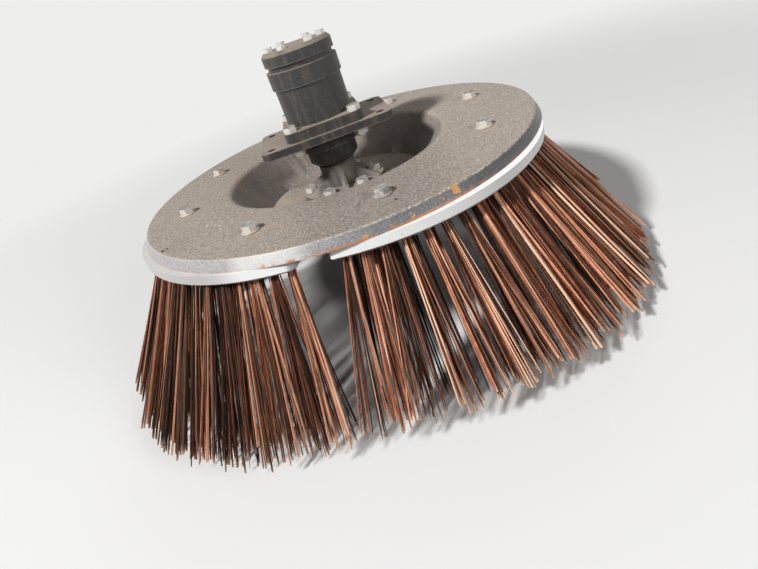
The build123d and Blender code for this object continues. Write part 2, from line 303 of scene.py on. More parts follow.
def rim_paint(sheet, place, radius, cloud, grain, blotch, sand):
    """Dark paint, filmed with grainy dust on the rim and grimy elsewhere, with painted light and a
    painted highlight on the rim's lit side; the film with its painted light; where the rim is.
    """
    across = sheet.axes(place)[0]
    bare = sheet.mix(cloud, srgb(50, 52, 57), srgb(72, 73, 76))
    # The film is thick on one side of the disc and thin on the other; its thickness on the side toward
    # the key light is painted light, and the patch on the far side is dust
    painted_lit_side = sheet.steps(across, 0.15, -0.17)
    far_side = sheet.both(sheet.steps(across, 0.25, 0.33), 0.5)
    dust_film_and_painted_light = sheet.either(painted_lit_side, far_side)
    dust_film_and_painted_light = sheet.total(dust_film_and_painted_light, sheet.sway(blotch, 0.3), sheet.sway(grain, 0.7))
    speck = sheet.steps(sheet.noise(place, 700.0, detail=3.0, roughness=0.7), 0.54, 0.62)
    dust_film_and_painted_light = sheet.either(sheet.blend(dust_film_and_painted_light, 0.12, 0.96), sheet.both(speck, 0.55))
    film_and_highlight_colour = sheet.mix(sheet.steps(grain, 0.40, 0.62), srgb(145, 144, 148), srgb(192, 188, 184))
    # A painted highlight: a pale band on the rim's flare where the key light glints
    painted_highlight = sheet.steps(sheet.away(across, -0.12), 0.06, 0.03)
    film_and_highlight_colour = sheet.mix(sheet.both(painted_highlight, 0.6), film_and_highlight_colour, srgb(226, 224, 220))
    on_rim = sheet.steps(radius, DISC_RADIUS - 0.008, DISC_RADIUS - 0.002)
    grime = sheet.mix(sand, srgb(104, 97, 90), srgb(142, 132, 122))
    runs = sheet.steps(sheet.noise(sheet.stretched(place, 55.0, 9.0), 1.0, detail=4.0), 0.42, 0.66)
    caked = sheet.either(sheet.steps(blotch, 0.38, 0.65), sheet.both(runs, 0.8))
    walls = sheet.mix(sheet.blend(caked, 0.3, 0.85), bare, grime)
    return sheet.mix(on_rim, walls, sheet.mix(dust_film_and_painted_light, bare, film_and_highlight_colour)), dust_film_and_painted_light, on_rim


def settled_dust(sheet, place, cloud, grain, sand):
    """Sandy dust, paler toward one side and darker across the middle."""
    across = sheet.axes(place)[0]
    middle = sheet.both(sheet.steps(sheet.away(across, 0.03), 0.15, 0.05), 0.038)
    paler = sheet.both(sheet.steps(across, 0.02, 0.26), 0.022)
    dust = sheet.ramp(sheet.total(grain, sheet.math("SUBTRACT", paler, middle)), (
        (0.36, srgb(104, 95, 87)),
        (0.44, srgb(137, 127, 118)),
        (0.50, srgb(159, 149, 139)),
        (0.56, srgb(180, 170, 159)),
        (0.66, srgb(212, 201, 187)),
    ))
    warm = sheet.both(sheet.steps(cloud, 0.5, 0.68), sheet.steps(sand, 0.4, 0.62), 0.5)
    return sheet.mix(warm, dust, srgb(186, 156, 128))


def rim_rust(sheet, place, radius, patch, sand, on_flat):
    """Chips and the rusty lower edge of the rim: the share of each and their colours."""
    across, along, height = sheet.axes(place)
    chip = 0.0
    for chip_angle, depth, size in RIM_CHIPS:
        spot = round_axis(RIM_RADIUS, radians(chip_angle), DISC_TOP - depth)
        distance = sheet.distance(place, spot)
        wavy = sheet.total(distance, sheet.sway(patch, size * 4.0))
        chip = sheet.either(chip, sheet.steps(wavy, size, size * 0.7))
    scale = sheet.mix(sand, srgb(176, 118, 70), srgb(222, 176, 122))
    low_edge = sheet.steps(height, RIM_BOTTOM + 0.0042, RIM_BOTTOM + 0.0012)
    band = sheet.both(sheet.rest(on_flat),
                      sheet.steps(radius, DISC_RADIUS + 0.0003, DISC_RADIUS + 0.0012))
    front = sheet.both(sheet.steps(sheet.away(across, 0.02), 0.19, 0.11),
                       sheet.math("LESS_THAN", along, 0.0))
    broken = sheet.steps(sheet.noise(place, 34.0, detail=6.0, roughness=0.7), 0.42, 0.54)
    lower = sheet.both(low_edge, band, sheet.either(front, 0.25), broken)
    rust = sheet.mix(sand, srgb(132, 82, 56), srgb(206, 146, 100))
    return chip, scale, lower, rust


def disc_material():
    sheet = NodeSheet("dusty_disc_paint")
    place = sheet.place()
    radius = sheet.radius(place)
    height = sheet.axes(place)[2]
    cloud = sheet.noise(place, 7.0, detail=6.0, roughness=0.62)
    patch = sheet.noise(place, 46.0, detail=6.0, roughness=0.68)
    blotch = sheet.noise(place, 24.0)
    sand = sheet.noise(place, 400.0, detail=3.0, roughness=0.7)
    grit = sheet.noise(place, 900.0, detail=3.0, roughness=0.8)
    coarse = sheet.noise(place, 360.0, detail=4.0, roughness=0.8)
    grain = sheet.total(sheet.both(grit, 0.35), sheet.both(coarse, 0.65))

    paint, dust_film_and_painted_light, on_rim = rim_paint(sheet, place, radius, cloud, grain, blotch, sand)
    dust = settled_dust(sheet, place, cloud, grain, sand)
    on_flat = sheet.steps(sheet.total(radius, sheet.sway(patch, 0.003)),
                          DISC_RADIUS + 0.0004, DISC_RADIUS - 0.0006)
    level = sheet.both(sheet.steps(sheet.facing(), 0.5, 0.93), on_flat)
    cover = sheet.both(level, sheet.blend(sheet.steps(cloud, 0.2, 0.4), 0.78, 1.0))
    colour = sheet.mix(cover, paint, dust)

    pebble = sheet.both(sheet.specks(place, 95.0, 0.10, 0.16), level)
    colour = sheet.mix(pebble, colour, srgb(206, 194, 178))
    pit = sheet.both(sheet.specks(place, 70.0, 0.05, 0.10), level)
    colour = sheet.mix(pit, colour, srgb(58, 52, 48))
    for mark_x, mark_y, reach, pale_mark in DUST_MARKS:
        distance = sheet.distance(place, (mark_x, mark_y, DISC_TOP))
        wavy = sheet.total(distance, sheet.sway(coarse, reach * 1.5))
        tone = srgb(222, 212, 198) if pale_mark else srgb(44, 38, 34)
        colour = sheet.mix(sheet.steps(wavy, reach, reach * 0.5), colour, tone)

    # The corner between the flat ring and the rim is rubbed bare in a broken line
    corner = sheet.rest(sheet.steps(sheet.away(radius, DISC_RADIUS + 0.0004), 0.0003, 0.0013))
    broken = sheet.steps(sheet.noise(place, 210.0), 0.46, 0.56)
    worn = sheet.both(corner, sheet.steps(height, DISC_TOP - 0.004, DISC_TOP - 0.001),
                      sheet.blend(broken, 0.25, 1.0), sheet.blend(dust_film_and_painted_light, 0.95, 0.3))
    colour = sheet.mix(worn, colour, srgb(212, 202, 186))
    chip, scale, lower, rust = rim_rust(sheet, place, radius, patch, sand, on_flat)
    colour = sheet.mix(lower, sheet.mix(chip, colour, scale), rust)

    sunk = sheet.both(sheet.total(chip, lower), 0.6)
    relief = sheet.bump(sheet.math("SUBTRACT", sheet.both(grit, 0.7), sunk),
                        sheet.blend(cover, 0.12, 0.4), 0.0005)
    dull = sheet.either(cover, chip, sheet.rest(on_rim))
    roughness = sheet.blend(dull, 0.36, sheet.blend(cover, 0.72, 0.93))
    sheet.shade(Base_Color=colour, Roughness=roughness, Specular_IOR_Level=0.25, Normal=relief)
    return sheet.owner


def block_material():
    sheet = NodeSheet("pale_block_plastic")
    place = sheet.place()
    cloud = sheet.noise(place, 14.0)
    grime = sheet.noise(place, 55.0, detail=6.0, roughness=0.7)
    grain = sheet.noise(place, 520.0, detail=3.0)
    colour = sheet.mix(sheet.steps(cloud, 0.4, 0.75), srgb(252, 252, 251), srgb(243, 244, 244))
    across = sheet.axes(place)[0]
    # The block turns greyer toward negative X, the same side as the rim's thick film above
    darkening = sheet.steps(sheet.total(across, sheet.both(cloud, 0.05)), -0.12, -0.19)
    colour = sheet.mix(sheet.both(darkening, 0.85), colour, srgb(184, 181, 178))
    dirt = sheet.both(sheet.steps(grime, 0.6, 0.76), 0.25)
    colour = sheet.mix(dirt, colour, srgb(150, 140, 128))
    below = sheet.steps(sheet.facing(), -0.4, -0.9)
    stain = sheet.both(below, sheet.steps(grime, 0.35, 0.6), 0.75)
    colour = sheet.mix(stain, colour, srgb(132, 104, 82))
    spots = sheet.specks(place, 150.0, 0.12, 0.14)
    colour = sheet.mix(sheet.both(spots, 0.7), colour, srgb(96, 82, 70))
    sheet.shade(Base_Color=colour, Roughness=sheet.blend(grime, 0.28, 0.55),
                Normal=sheet.bump(grain, 0.15, 0.0004))
    return sheet.owner


def zinc_material():
    sheet = NodeSheet("weathered_zinc")
    place = sheet.place()
    spangle = sheet.noise(place, 420.0, detail=4.0)
    stain = sheet.noise(place, 130.0, roughness=0.7)
    colour = sheet.mix(spangle, srgb(226, 225, 220), srgb(246, 244, 238))
    # Dust on the tops of the heads, painted darker than the disc's dust as a painted shade of the top
    # faces
    level = sheet.steps(sheet.facing(), 0.6, 0.95)
    dust = sheet.both(level, sheet.blend(sheet.steps(stain, 0.3, 0.62), 0.65, 1.0))
    top_dust_and_shade_colour = sheet.mix(spangle, srgb(84, 83, 80), srgb(126, 121, 113))
    colour = sheet.mix(sheet.both(dust, 0.9), colour, top_dust_and_shade_colour)
    rust = sheet.steps(stain, 0.62, 0.72)
    colour = sheet.mix(sheet.both(rust, 0.8), colour, srgb(162, 104, 66))
    # Dirt stays on the washers, at the foot of the bolts on the disc
    height = sheet.axes(place)[2]
    foot = sheet.both(sheet.rest(sheet.steps(height, DISC_TOP + 0.0026, DISC_TOP + 0.0032)),
                      sheet.steps(height, DISC_TOP - 0.002, DISC_TOP - 0.001))
    dirt = sheet.mix(sheet.steps(stain, 0.42, 0.62), srgb(198, 184, 168), srgb(184, 160, 138))
    colour = sheet.mix(sheet.both(foot, 0.85), colour, dirt)
    caked = sheet.both(sheet.steps(sheet.distance(place, CAKED_BOLT), CAKED_REACH, CAKED_REACH * 0.9),
                       sheet.blend(sheet.steps(stain, 0.42, 0.56), 0.35, 0.9))
    colour = sheet.mix(caked, colour, sheet.mix(spangle, srgb(122, 120, 118), srgb(172, 168, 162)))
    dull = sheet.either(dust, rust, foot, caked)
    sheet.shade(Base_Color=colour, Roughness=sheet.blend(dull, 0.3, 0.85),
                Metallic=sheet.blend(dull, 0.35, 0.1), Normal=sheet.bump(spangle, 0.2, 0.0003))
    return sheet.owner


def black_paint(name, casting):
    """Dusty black paint: casting is how rough the metal under it is, from 0 to 1."""
    sheet = NodeSheet(name)
    place = sheet.place()
    cloud = sheet.noise(place, 24.0)
    skin = sheet.noise(place, 260.0, roughness=0.75)
    grit = sheet.noise(place, 900.0, detail=3.0, roughness=0.8)
    edge = sheet.edges(0.0022)
    colour = sheet.mix(cloud, srgb(27, 28, 30), srgb(45, 46, 49))
    runs = sheet.noise(sheet.stretched(place, 85.0, 11.0), 1.0, roughness=0.65)
    streaked = sheet.blend(sheet.steps(runs, 0.42, 0.7), 0.12, 0.75)
    dust_film_and_painted_light = sheet.both(sheet.steps(grit, 0.36, 0.62), streaked)
    colour = sheet.mix(dust_film_and_painted_light, colour, srgb(112, 103, 93))
    cover = sheet.both(sheet.steps(sheet.facing(), 0.25, 0.9), sheet.steps(cloud, 0.2, 0.5))
    colour = sheet.mix(cover, colour, sheet.mix(grit, srgb(116, 106, 95), srgb(170, 157, 144)))
    wear_and_painted_light = sheet.both(edge, sheet.blend(sheet.steps(skin, 0.4, 0.58), 0.2, 0.85))
    colour = sheet.mix(wear_and_painted_light, colour, srgb(148, 139, 128))
    spots = sheet.steps(sheet.noise(place, 95.0, roughness=0.7), 0.655, 0.69)
    chips = sheet.either(spots, sheet.both(edge, sheet.steps(runs, 0.56, 0.64)))
    colour = sheet.mix(chips, colour, sheet.mix(skin, srgb(112, 68, 44), srgb(176, 122, 82)))
    cast = sheet.bump(skin, casting, 0.0012)
    relief = sheet.bump(sheet.math("SUBTRACT", grit, chips), 0.25, 0.0005, under=cast)
    roughness = sheet.blend(sheet.either(cover, dust_film_and_painted_light, chips), 0.4, 0.92)
    sheet.shade(Base_Color=colour, Roughness=roughness, Normal=relief)
    return sheet.owner


def shaft_material():
    sheet = NodeSheet("filmed_shaft_steel")
    place = sheet.place()
    turned = sheet.add("ShaderNodeTexWave", {"Vector": place, "Scale": 700.0, "Distortion": 0.4},
                       bands_direction="Z").outputs["Fac"]
    stain = sheet.noise(place, 60.0)
    colour = sheet.mix(sheet.steps(stain, 0.45, 0.7), srgb(168, 164, 158), srgb(132, 92, 64))
    sheet.shade(Base_Color=colour, Roughness=sheet.blend(stain, 0.25, 0.6), Metallic=0.85,
                Normal=sheet.bump(turned, 0.1, 0.0003))
    return sheet.owner


# What makes the finish of each material slot
MATERIAL_MAKERS = {
    "disc_paint": disc_material,
    "block_plastic": block_material,
    "wire_steel": wire_material,
    "zinc": zinc_material,
    "motor_paint": lambda: black_paint("black_motor_paint", 0.7),
    "plate_paint": lambda: black_paint("black_plate_paint", 0.2),
    "shaft_steel": shaft_material,
}
MATERIALS = {}
SLOT_OF_NODE = {row["node"]: row["material_slot"] for row in frame["record"]["subparts"]}
BODIES = frame["record"]["behaviour"]["bodies"]
BODY_OF_NODE = {node: body for body, nodes in BODIES.items() for node in nodes}


def finish(slot_name):
    """The material of one of the record's slots, made once."""
    if slot_name not in MATERIALS:
        MATERIALS[slot_name] = MATERIAL_MAKERS[slot_name]()
    return MATERIALS[slot_name]


def in_scene(name, data):
    """A new object that stands in the scene."""
    item = bpy.data.objects.new(name, data)
    bpy.context.scene.collection.objects.link(item)
    return item


def new_piece(name, mesh, node_name):
    """A finished mesh in place of a node, with the node's slot and body."""
    piece = in_scene(name, mesh)
    slot_name = SLOT_OF_NODE[node_name]
    mesh.materials.clear()
    mesh.materials.append(finish(slot_name))
    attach(piece, BODY_OF_NODE[node_name])
    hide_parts(node_name)


# Triangles that turn less than this are one flat face
FLAT_ENOUGH = radians(0.6)


def mesh_from(name, maker, bevel=0.0, sharp=30.0):
    """A mesh from a bmesh: bevelled edges where asked, smooth shading up to the sharp angle."""
    bmesh.ops.recalc_face_normals(maker, faces=maker.faces)
    mesh = bpy.data.meshes.new(name)
    maker.to_mesh(mesh)
    maker.free()
    mesh.shade_smooth()
    mesh.set_sharp_from_angle(angle=radians(sharp))
    if not bevel:
        return mesh
    stand_in = in_scene(name, mesh)
    rounding = stand_in.modifiers.new("rounding", "BEVEL")
    rounding.width = bevel
    rounding.segments = 3
    rounding.limit_method = "ANGLE"
    rounding.angle_limit = radians(sharp)
    rounding.miter_outer = "MITER_ARC"
    rounding.harden_normals = True
    bpy.context.view_layer.update()
    rounded = bpy.data.meshes.new_from_object(
        stand_in, preserve_all_data_layers=True, depsgraph=bpy.context.evaluated_depsgraph_get())
    bpy.data.objects.remove(stand_in)
    rounded.name = name
    return rounded


def node_copy(node_name):
    """A node's solid as an editable mesh, its faces joined where they meet."""
    maker = bmesh.new()
    maker.from_mesh(frame["nodes"][node_name].data)
    bmesh.ops.remove_doubles(maker, verts=maker.verts, dist=1e-6)
    return maker


def softened(node_name, piece_name, bevel):
    """A copy of a node's solid with rounded edges, to stand for it."""
    maker = node_copy(node_name)
    bmesh.ops.dissolve_limit(maker, angle_limit=FLAT_ENOUGH, verts=maker.verts, edges=maker.edges)
    new_piece(piece_name, mesh_from(piece_name, maker, bevel), node_name)


def turn_rings(maker, centre, rings, count):
    """Loops of points about an upright axis: a ring's radius and height may vary by angle."""
    loops = []
    for radius_at, height_at in rings:
        loop = []
        for k in range(count):
            angle = 2 * pi * k / count
            radius = radius_at(angle) if callable(radius_at) else radius_at
            height = height_at(angle) if callable(height_at) else height_at
            loop.append(maker.verts.new(centre + round_axis(radius, angle, height)))
        loops.append(loop)
    return loops


def join_loops(maker, loops):
    """The faces between each loop and the next."""
    for lower, upper in zip(loops, loops[1:]):
        count = len(lower)
        for k in range(count):
            after = (k + 1) % count
            maker.faces.new((lower[k], lower[after], upper[after], upper[k]))


def close_ends(maker, loops):
    """A solid body from loops, with a face over each end."""
    join_loops(maker, loops)
    maker.faces.new(reversed(loops[0]))
    maker.faces.new(loops[-1])


def close_ring(maker, loops):
    """A body with a hole through it: its last loop joins the first."""
    join_loops(maker, loops + [loops[0]])


# Points round a hexagon, and round a thread or a washer
HEX_STEPS = 72
ROUND_STEPS = 48
# The chamfer of a head or nut starts at this share of its flats
CHAMFER_START = 0.96
CHAMFER_SLOPE = tan(radians(30))
# A head is a little narrower at its foot, and its top is slightly hollow
FOOT_SHARE = 0.985
FOOT_HEIGHT = 0.0006
HOLLOW_DEPTH = 0.0005
HOLLOW_START = 0.78
HOLLOW_END = 0.70
# Chamfer of a nut's bore, and the round edge of a washer as a share of its thickness
BORE_CHAMFER = 0.0008
STAMPED_EDGE = 0.3
# How the heads stand, in degrees, and how far each may differ
HEAD_TURN = 31.5
HEAD_TURN_SPREAD = 12


def hex_radius(across_flats, turn=0.0):
    """The radius of a hexagon by angle, with a corner at the angle turn, in degrees."""
    def radius_at(angle):
        off_middle = ((degrees(angle) - turn) % 60) - 30
        return across_flats / 2 / cos(radians(off_middle))
    return radius_at


def hex_chamfer(across_flats, end, into, turn=0.0):
    """The height of a 30 degree chamfer on a hexagon's end: into is +1 or -1, towards the body."""
    outline = hex_radius(across_flats, turn)
    rim = across_flats / 2 * CHAMFER_START

    def height_at(angle):
        return end + into * max(0.0, outline(angle) - rim) * CHAMFER_SLOPE
    return height_at


def bolt_head(maker, centre, across_flats, height, turn):
    """A chamfered hex head standing on centre, slightly hollow on top."""
    outline = hex_radius(across_flats, turn)
    rim = across_flats / 2 * CHAMFER_START
    rings = (
        (lambda angle: outline(angle) * FOOT_SHARE, 0.0),
        (outline, FOOT_HEIGHT),
        (outline, hex_chamfer(across_flats, height, -1, turn)),
        (rim, height),
        (rim * HOLLOW_START, height),
        (rim * HOLLOW_END, height - HOLLOW_DEPTH),
    )
    close_ends(maker, turn_rings(maker, centre, rings, HEX_STEPS))


def thread_end(maker, centre, radius, start, end):
    """A threaded stub from height start to the lower height end, with a chamfered tip."""
    pitch = 0.00175
    depth = 0.0009
    rings = [(radius, start)]
    height = start
    while height - pitch > end + depth:
        for down, inset in ((0.1, 0.0), (0.5, depth), (0.9, 0.0)):
            rings.append((radius - inset, height - pitch * down))
        height -= pitch
    rings += [(radius, end + depth), (radius - depth, end)]
    close_ends(maker, turn_rings(maker, centre, rings, ROUND_STEPS))


def hex_nut(maker, centre, across_flats, bore, height):
    """A nut below centre, chamfered at both ends."""
    outline = hex_radius(across_flats)
    rim = across_flats / 2 * CHAMFER_START
    rings = (
        (rim, 0.0),
        (outline, hex_chamfer(across_flats, 0.0, -1)),
        (outline, hex_chamfer(across_flats, -height, 1)),
        (rim, -height),
        (bore + BORE_CHAMFER, -height),
        (bore, -height + BORE_CHAMFER),
        (bore, -BORE_CHAMFER),
        (bore + BORE_CHAMFER, 0.0),
    )
    close_ring(maker, turn_rings(maker, centre, rings, HEX_STEPS))


def washer(maker, centre, outer, bore, thickness):
    """A flat washer standing on centre, with stamped round edges."""
    edge = thickness * STAMPED_EDGE
    rings = (
        (outer - edge, 0.0), (outer, edge), (outer, thickness - edge), (outer - edge, thickness),
        (bore + edge, thickness), (bore, thickness - edge), (bore, edge), (bore + edge, 0.0),
    )
    close_ring(maker, turn_rings(maker, centre, rings, ROUND_STEPS))


def solid_places(node_name):
    """The middle of each separate solid of a node, in plan, and the node's lowest and highest point."""
    maker = node_copy(node_name)
    left = set(maker.verts)
    places = []
    while left:
        group = [left.pop()]
        for vertex in group:
            for edge in vertex.link_edges:
                other = edge.other_vert(vertex)
                if other in left:
                    left.discard(other)
                    group.append(other)
        spread = [[vertex.co[axis] for vertex in group] for axis in (0, 1)]
        places.append(tuple((min(values) + max(values)) / 2 for values in spread))
    maker.free()
    low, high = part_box(node_name)
    return sorted(places), low.z, high.z


class BroomSizes(bpy.types.PropertyGroup):
    wire_length: FloatProperty(
        name="Wire length", description="Length of a wire below its block where it is worn least",
        default=0.268, min=0.1, max=0.4, unit="LENGTH")
    worn_share: FloatProperty(
        name="Worn share", description="Share of the length that is gone where the skirt is worn most",
        default=0.145, min=0.0, max=0.5)
    worn_middle: FloatProperty(
        name="Worn side", description="Direction in which the skirt is worn most",
        default=radians(-91), subtype="ANGLE")
    worn_width: FloatProperty(
        name="Worn width", description="Angle over which the wear fades",
        default=radians(36), subtype="ANGLE")
    wire_width: FloatProperty(
        name="Wire width", description="Wide side of a flat wire",
        default=0.0028, min=0.001, max=0.006, unit="LENGTH")
    wire_thickness: FloatProperty(
        name="Wire thickness", description="Thin side of a flat wire",
        default=0.0007, min=0.0003, max=0.003, unit="LENGTH")
    splay: FloatProperty(
        name="Splay", description="Angle of the outer wires from the broom's axis",
        default=radians(36), subtype="ANGLE")


class FastenerSizes(bpy.types.PropertyGroup):
    across_flats: FloatProperty(
        name="Across flats", description="Hexagon of the main bolts and nuts",
        default=0.019, unit="LENGTH")
    bolt_diameter: FloatProperty(
        name="Bolt diameter", description="Thread of the main bolts",
        default=0.012, unit="LENGTH")
    cover_across_flats: FloatProperty(
        name="Cover bolt flats", description="Hexagon of the motor's cover bolts",
        default=0.013, unit="LENGTH")


class StudioSizes(bpy.types.PropertyGroup):
    floor_colour: FloatVectorProperty(
        name="Floor colour", description="Colour of the floor and the backdrop",
        subtype="COLOR", size=4, default=(0.80, 0.80, 0.79, 1.0), min=0.0, max=1.0)
    key_power: FloatProperty(
        name="Key light", description="Power of the large light at the front left",
        default=740.0, min=0.0, unit="POWER")
    world_strength: FloatProperty(
        name="Sky", description="Strength of the even light from all round",
        default=0.07, min=0.0, max=2.0)


# Where the scene keeps each group of sizes
SIZE_GROUPS = {"broom_sizes": BroomSizes, "fastener_sizes": FastenerSizes, "studio_sizes": StudioSizes}
# Segment number: angle of its middle, sideways lean of its first bunch and of its last, in degrees, and
# how far its wires stray from their bunch, as a share of the second segment's
SEGMENTS = {1: (-147, 0, 11, 1.7), 2: (-57, -8, 0, 1.0), 3: (33, 0, 8, 1.3), 4: (123, -8, 0, 1.4)}
# A block's arcs have a centre of their own, out from the broom's axis by the shift
BLOCK_SHIFT = 0.060
BLOCK_EDGE_RADIUS = 0.289
# Angle from one bunch to the next, in degrees
BUNCH_PITCH = 4.5
# Row: distance of its roots from the block's edge, bunches in a segment, degrees less splay
WIRE_ROWS = ((0.023, 18, 0.0), (0.047, 17, 7.0))
# Strands of a bunch: place at the tips as a share of the bunches' spacing there, share of the length
STRANDS = ((-0.42, 0.95), (-0.14, 1.0), (0.16, 0.98), (0.42, 0.94))
# Wires of a strand: place beside its middle, as a share of the bunches' spacing at the tips
STRAND_WIRES = (-0.12, -0.06, 0.0, 0.06, 0.12)
# What the tone of the inner row's wires loses, a painted shade from the outer row
INNER_ROW_PAINTED_SHADE = 0.26
# Share of the wires that are coated dark, and what is left of their tone
DARK_SHARE = 0.3
DARK_TONE = 0.3
# The side toward which the wires' tone is raised as painted light, and by how much
PAINTED_LIGHT_SIDE = radians(-25)
PAINTED_LIGHT_SHARE = 0.22
# Bunches that lean into a gap by more than this stray as well, by degrees
STRAY_FROM_LEAN = radians(6)
LEANING_STRAY = 5.0
# Scatter of whole bunches: splay and turn, in degrees, and how wide their roots are against their tips
BUNCH_SPLAY_SCATTER = 0.5
BUNCH_TURN_SCATTER = 0.6
ROOT_SPREAD = (0.035, 0.085)
# Scatter of a bunch's strands: splay in degrees, bow in metres, and the spread of their tones
STRAND_SPLAY_SCATTER = 1.7
STRAND_BOW_SCATTER = 0.003
STRAND_TONES = (1.6, 2.2)
# Scatter of a strand's wires: turn and splay in degrees, place and bow in metres, twist in radians
WIRE_TURN_SCATTER = 1.1
WIRE_SPLAY_SCATTER = (-1.0, 3.0, 0.0)
ROOT_REACH = 0.004
ROOT_SCATTER = 0.0008
WIRE_BOW_SCATTER = 0.001
WIRE_TWIST_SCATTER = 0.45
WIRE_LENGTHS = (0.97, 1.01)
WIRE_TONE_SCATTER = 0.2
# Share of the wires that are bent aside, and by how many degrees
BENT_SHARE = 0.02
BENT_BY = (4, 9)
# Share of the wires that broke short, and what is left of them
BROKEN_SHARE = 0.03
BROKEN_LENGTHS = (0.7, 0.93)
# How far the wires reach into their block
ROOT_DEPTH = 0.001
# Straight pieces in a bowed wire, and the turn in degrees above which its edges stay sharp
WIRE_LINKS = 6
WIRE_SHARP = 50.0
# Section of a flat wire, as shares of its half width and half thickness
WIRE_SECTION = ((-1.0, 0.0), (-0.8, -1.0), (0.8, -1.0), (1.0, 0.0), (0.8, 1.0), (-0.8, 1.0))


def edge_distance(off_middle):
    """From the broom's axis to a block's outer edge, at an angle off the block's middle."""
    across = BLOCK_SHIFT * sin(off_middle)
    return BLOCK_SHIFT * cos(off_middle) + sqrt(BLOCK_EDGE_RADIUS ** 2 - across ** 2)


def worn_length(angle, sizes):
    """Length of the wires at an angle round the broom."""
    off_worn = remainder(angle - sizes.worn_middle, 2 * pi)
    return sizes.wire_length * (1 - sizes.worn_share * exp(-(off_worn / sizes.worn_width) ** 2))


def flat_wire(maker, layers, start, direction, bow, length, facing, sizes, tone):
    """One flat wire: a bowed strip with rounded edges, wide across facing."""
    tone_layer, along_layer = layers
    side = direction.cross(facing).normalized()
    normal = side.cross(direction).normalized()
    half_width = sizes.wire_width / 2
    half_thickness = sizes.wire_thickness / 2
    rings = []
    for step in range(WIRE_LINKS + 1):
        share = step / WIRE_LINKS
        centre = start + direction * (length * share) + bow * (share * share)
        ring = []
        for across, through in WIRE_SECTION:
            offset = side * (across * half_width) + normal * (through * half_thickness)
            vertex = maker.verts.new(centre + offset)
            vertex[tone_layer] = tone
            vertex[along_layer] = share
            ring.append(vertex)
        rings.append(ring)
    close_ends(maker, rings)


def keep_inside(start, direction, bow, length, margin):
    """The length at which a wire's tip still lies inside the model's own box."""
    cut = 0.004
    while length > 0:
        tip = start + direction * length + bow
        if all(CAD_LOW[k] + margin <= tip[k] <= CAD_HIGH[k] - margin for k in range(3)):
            return length
        length -= cut
    raise RuntimeError("a wire starts outside the model's box")


def bunches(number, sizes):
    """Each bunch: row, number in it, angle, root radius, splay, lean, length, spacing at the tips."""
    middle, first_lean, last_lean = SEGMENTS[number][:3]
    for row, (row_inset, bunch_count, less_splay) in enumerate(WIRE_ROWS):
        for k in range(bunch_count):
            off_middle = radians((k - (bunch_count - 1) / 2) * BUNCH_PITCH)
            angle = radians(middle) + off_middle
            root_radius = edge_distance(off_middle) - row_inset
            splay = sizes.splay - radians(less_splay)
            way = k / (bunch_count - 1)
            lean = radians(first_lean * (1 - way) ** 2 + last_lean * way ** 2)
            length = worn_length(angle, sizes)
            spacing = (root_radius + length * sin(splay)) * radians(BUNCH_PITCH)
            yield row, k, angle, root_radius, splay, lean, length, spacing


def wire_mesh(number, sizes):
    """All the wires of one segment as one mesh."""
    source = random.Random(number)
    maker = bmesh.new()
    floats = maker.verts.layers.float
    layers = (floats.new("wire_tone"), floats.new("wire_along"))
    stray = SEGMENTS[number][3]
    up = Vector((0, 0, 1))
    for row, k, angle, root_radius, splay, lean, bunch_length, spacing in bunches(number, sizes):
        side = 1 if k % 2 else -1
        bunch_splay = splay + radians(source.gauss(0, BUNCH_SPLAY_SCATTER))
        bunch_turn = lean + radians(source.gauss(0, BUNCH_TURN_SCATTER))
        root_spread = source.uniform(*ROOT_SPREAD)
        outward = Vector((cos(angle), sin(angle), 0))
        around = Vector((-sin(angle), cos(angle), 0))
        # The wires' tone is raised toward one side as painted light, and lowered on the inner row as
        # painted shade
        wear_and_painted_light = PAINTED_LIGHT_SHARE * cos(angle - PAINTED_LIGHT_SIDE) - row * INNER_ROW_PAINTED_SHADE
        for tip_share, length_share in STRANDS:
            strand_splay = bunch_splay - radians(abs(source.gauss(0, STRAND_SPLAY_SCATTER)))
            strand_tone = source.betavariate(*STRAND_TONES) + wear_and_painted_light
            strand_bow = (around * source.gauss(0, STRAND_BOW_SCATTER)
                          + outward * source.gauss(0, STRAND_BOW_SCATTER))
            for beside in STRAND_WIRES:
                turn = atan2(side * (tip_share + beside) * spacing, bunch_length)
                wire_turn = bunch_turn + turn + radians(source.gauss(0, WIRE_TURN_SCATTER * stray))
                if abs(lean) > STRAY_FROM_LEAN:
                    wire_turn += copysign(radians(abs(source.gauss(0, LEANING_STRAY))), lean)
                if source.random() < BENT_SHARE:
                    wire_turn += radians(source.choice((-1, 1)) * source.uniform(*BENT_BY))
                wire_splay = strand_splay - radians(source.triangular(*WIRE_SPLAY_SCATTER))
                root = (outward * (root_radius + source.uniform(-ROOT_REACH, ROOT_REACH))
                        + around * (turn * root_spread + source.gauss(0, ROOT_SCATTER))
                        + up * (BLOCK_BOTTOM + ROOT_DEPTH))
                level = outward * cos(wire_turn) + around * sin(wire_turn)
                heading = level * sin(wire_splay) - up * cos(wire_splay)
                upper = level * cos(wire_splay) + up * sin(wire_splay)
                twist = source.gauss(0, WIRE_TWIST_SCATTER)
                facing = (around * cos(twist) + upper * sin(twist)).normalized()
                bow = (strand_bow + around * source.gauss(0, WIRE_BOW_SCATTER)
                       + outward * source.gauss(0, WIRE_BOW_SCATTER))
                length = bunch_length * length_share * source.uniform(*WIRE_LENGTHS)
                if source.random() < BROKEN_SHARE:
                    length *= source.uniform(*BROKEN_LENGTHS)
                length = keep_inside(root, heading, bow, length, sizes.wire_width)
                tone = strand_tone + source.gauss(0, WIRE_TONE_SCATTER)
                if source.random() < DARK_SHARE:
                    tone *= DARK_TONE
                tone = min(1.0, max(0.0, tone))
                flat_wire(maker, layers, root, heading, bow, length, facing, sizes, tone)
    return mesh_from(f"wires_segment_{number}", maker, sharp=WIRE_SHARP)


